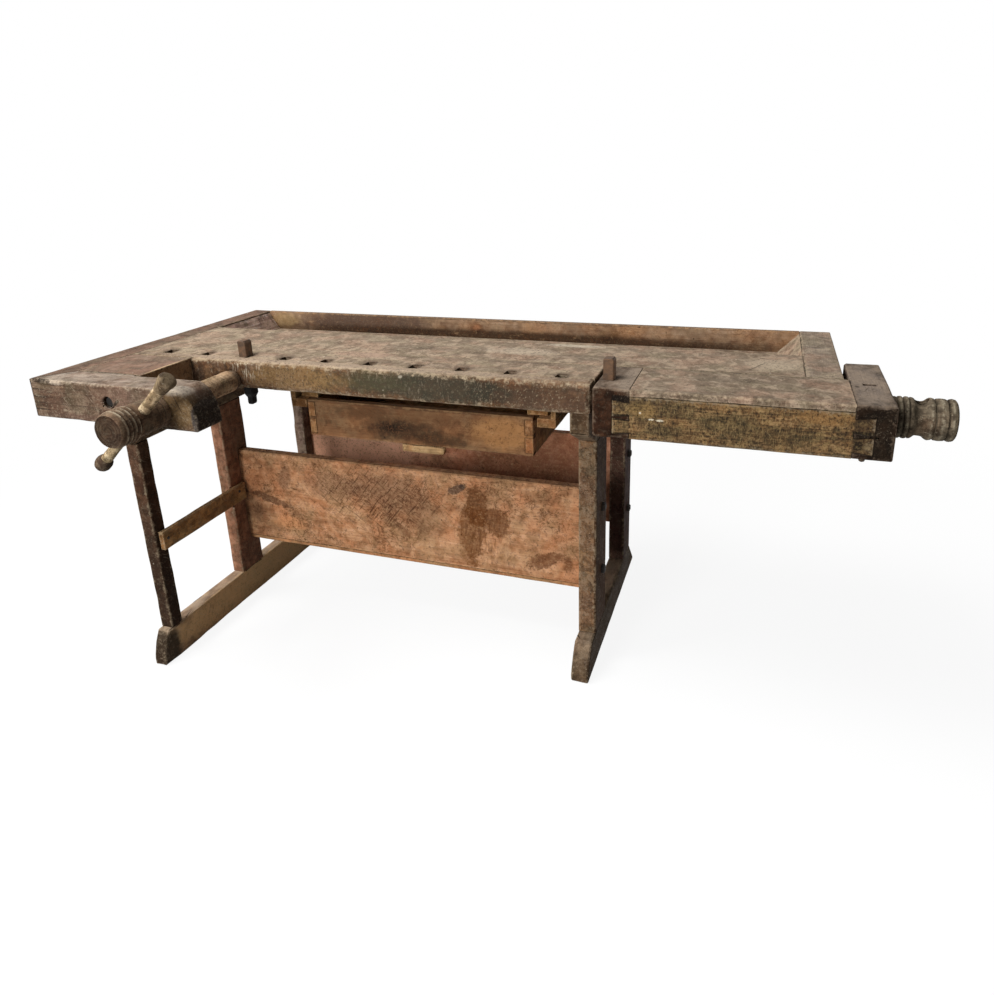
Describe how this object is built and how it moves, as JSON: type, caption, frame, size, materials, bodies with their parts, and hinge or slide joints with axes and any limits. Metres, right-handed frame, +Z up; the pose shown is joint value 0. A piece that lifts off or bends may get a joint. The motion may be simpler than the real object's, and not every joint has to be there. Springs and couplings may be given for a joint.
{
  "type": "woodworking bench",
  "caption": "Old wooden joiner's bench with sledge-foot trestles, a shoulder vise, a dovetailed tail vise on a wooden screw, square dog holes, a tool tray and a hung drawer.",
  "frame": {"origin": "on the floor, at the middle of the bench's overall footprint", "axes": "+X along the bench toward the tail vise's screw, +Y from the front edge to the tool tray, +Z up"},
  "size_m": [2.0126, 1.083, 0.8619],
  "materials": {
    "top_wood": "weathered grey-brown hardwood, worn and scarred",
    "vise_wood": "grimy brown hardwood, hand-polished edges",
    "trestle_wood": "grey-brown hardwood, dry and scuffed",
    "board_wood": "warm orange-brown pine with scratches",
    "runner_wood": "pale tan bare wood",
    "turned_wood": "dark lathe-turned wood, dented",
    "iron": "dark forged iron, dull"
  },
  "bodies": {
    "bench": {"arm_tie_bolt": "iron", "arm_tie_nut": "iron", "dog_strip_core": "top_wood", "dog_strip_face": "top_wood", "front_stretcher": "board_wood", "left_batten": "trestle_wood", "left_bearer": "trestle_wood", "left_end_cap": "top_wood", "left_foot": "trestle_wood", "left_front_leg": "trestle_wood", "left_rear_leg": "trestle_wood", "left_runner_ledge": "runner_wood", "left_runner_spacer": "runner_wood", "left_vise_post": "trestle_wood", "rear_stretcher": "board_wood", "right_bearer": "trestle_wood", "right_end_cap": "top_wood", "right_foot": "trestle_wood", "right_front_leg": "trestle_wood", "right_rear_leg": "trestle_wood", "right_runner_ledge": "runner_wood", "right_runner_spacer": "runner_wood", "slab_middle_plank": "top_wood", "slab_rear_plank": "top_wood", "stretcher_edge_strip": "board_wood", "stretcher_screws": "iron", "tail_guide_rail": "vise_wood", "tail_nut_block": "vise_wood", "top_pegs": "top_wood", "tray_back_rail": "top_wood", "tray_floor": "top_wood", "tray_left_ramp": "top_wood", "tray_right_ramp": "top_wood", "vise_arm": "top_wood", "vise_filler_block": "top_wood"},
    "nose_pad": {"nose_pad": "turned_wood"},
    "front_screw": {"front_screw": "turned_wood"},
    "tommy_bar": {"tommy_bar": "runner_wood", "tommy_knobs": "turned_wood"},
    "tail_carriage": {"tail_front_plank": "vise_wood", "tail_jaw_block": "vise_wood", "tail_end_block": "vise_wood", "tail_top_board": "vise_wood", "tail_lower_guide": "vise_wood", "garter_key": "vise_wood"},
    "tail_screw": {"tail_screw": "turned_wood"},
    "drawer": {"drawer_front": "board_wood", "drawer_left_side": "board_wood", "drawer_right_side": "board_wood", "drawer_back": "board_wood", "drawer_bottom": "board_wood", "drawer_left_cleat": "runner_wood", "drawer_right_cleat": "runner_wood", "drawer_pull": "runner_wood"},
    "bench_dog": {"bench_dog": "iron"},
    "tail_dog": {"tail_dog": "iron"}
  },
  "joints": [
    {"name": "front_vise_slide", "type": "slide", "parent": "bench", "child": "nose_pad", "axis": [0, -1, 0], "range_m": [0, 0.14]},
    {"name": "front_screw_turn", "type": "hinge", "parent": "nose_pad", "child": "front_screw", "pos_m": [-0.62625, -0.1455, 0.749], "axis": [0, -1, 0], "range_deg": [0, 4200]},
    {"name": "tommy_bar_slide", "type": "slide", "parent": "front_screw", "child": "tommy_bar", "axis": [0.7314, 0, 0.682], "range_m": [-0.068, 0.104]},
    {"name": "tail_vise_slide", "type": "slide", "parent": "bench", "child": "tail_carriage", "axis": [1, 0, 0], "range_m": [-0.0075, 0.19]},
    {"name": "tail_screw_turn", "type": "hinge", "parent": "tail_carriage", "child": "tail_screw", "pos_m": [0.88825, -0.0505, 0.7445], "axis": [1, 0, 0], "range_deg": [-225, 5700]},
    {"name": "drawer_slide", "type": "slide", "parent": "bench", "child": "drawer", "axis": [0, -1, 0], "range_m": [0, 0.3]},
    {"name": "bench_dog_slide", "type": "slide", "parent": "bench", "child": "bench_dog", "axis": [0, 0, 1], "range_m": [-0.042, 0.06]},
    {"name": "tail_dog_slide", "type": "slide", "parent": "tail_carriage", "child": "tail_dog", "axis": [0, 0, 1], "range_m": [-0.048, 0.06]}
  ],
  "couplings": [
    {"joint": "front_screw_turn", "follows": "front_vise_slide", "rad_per_m": 523.6},
    {"joint": "tail_screw_turn", "follows": "tail_vise_slide", "rad_per_m": 523.6}
  ]
}
